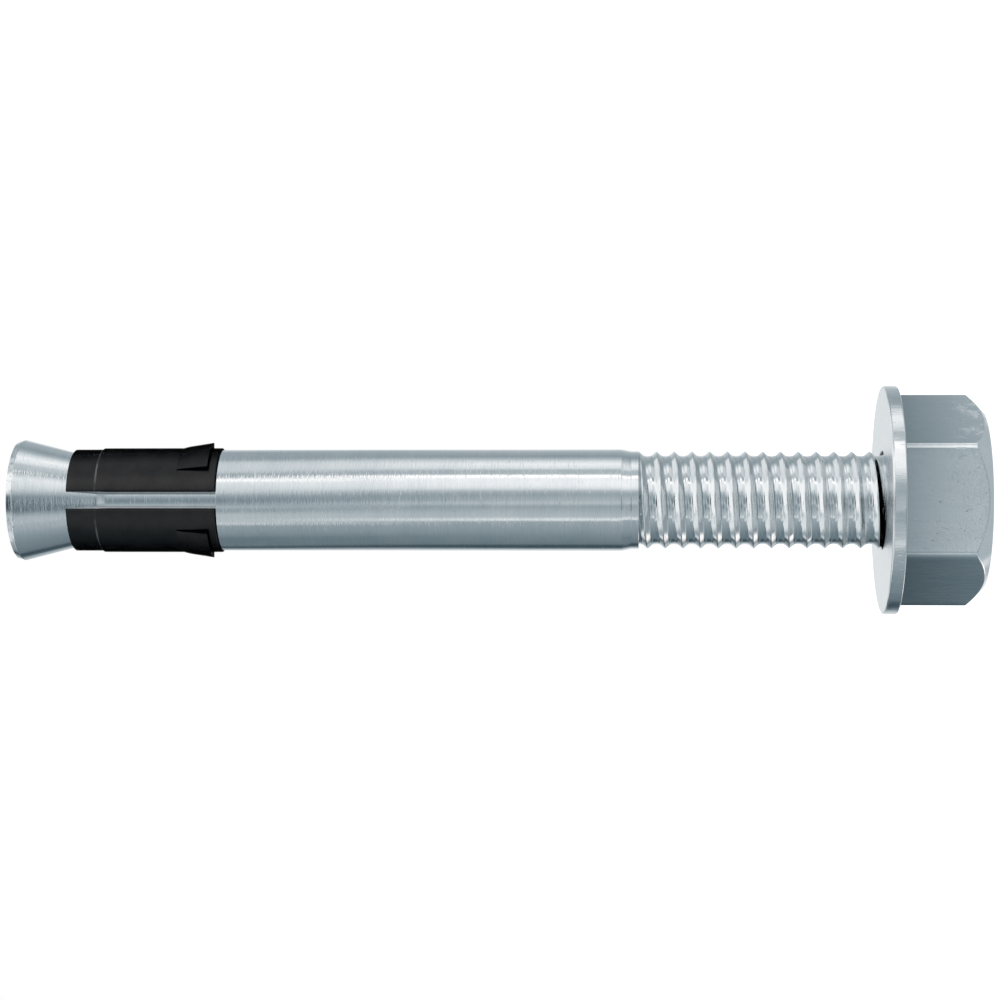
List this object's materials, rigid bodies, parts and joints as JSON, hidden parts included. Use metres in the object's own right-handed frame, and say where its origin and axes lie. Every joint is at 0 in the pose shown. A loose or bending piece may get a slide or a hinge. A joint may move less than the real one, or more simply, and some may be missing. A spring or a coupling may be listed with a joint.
{
  "type": "nail anchor",
  "caption": "Zinc-plated nail anchor: threaded bolt with a flared expansion cone, black slotted sleeve with barbs, flat washer and hexagon nut.",
  "frame": {"origin": "on the axis, in the plane of the nut's end face on which the anchor stands", "axes": "+Z along the axis from the nut to the expansion cone, -Y towards the sleeve's slot and one flat of the nut, +X towards a corner of the nut"},
  "size_m": [0.0122, 0.0122, 0.0516],
  "materials": {
    "zinc_bolt": "bright zinc-plated steel with fine turning marks",
    "black_sleeve": "matte black coated sheet steel",
    "zinc_washer": "bright zinc-plated stamped steel",
    "zinc_nut": "satin blue-grey zinc-plated steel"
  },
  "bodies": {
    "bolt": {"anchor_bolt": "zinc_bolt"},
    "sleeve": {"expansion_sleeve": "black_sleeve"},
    "washer": {"flat_washer": "zinc_washer"},
    "nut": {"hex_nut": "zinc_nut"}
  },
  "joints": [
    {"name": "sleeve_spin", "type": "hinge", "parent": "bolt", "child": "sleeve", "pos_m": [0, 0, 0.0445], "axis": [0, 0, 1], "continuous": true},
    {"name": "washer_travel", "type": "slide", "parent": "bolt", "child": "washer", "axis": [0, 0, 1], "range_m": [0, 0.01222]},
    {"name": "nut_turn", "type": "hinge", "parent": "washer", "child": "nut", "pos_m": [0, 0, 0.00226], "axis": [0, 0, 1], "range_deg": [0, 4680]}
  ],
  "couplings": [
    {"joint": "nut_turn", "follows": "washer_travel", "rad_per_m": 6684.2}
  ]
}
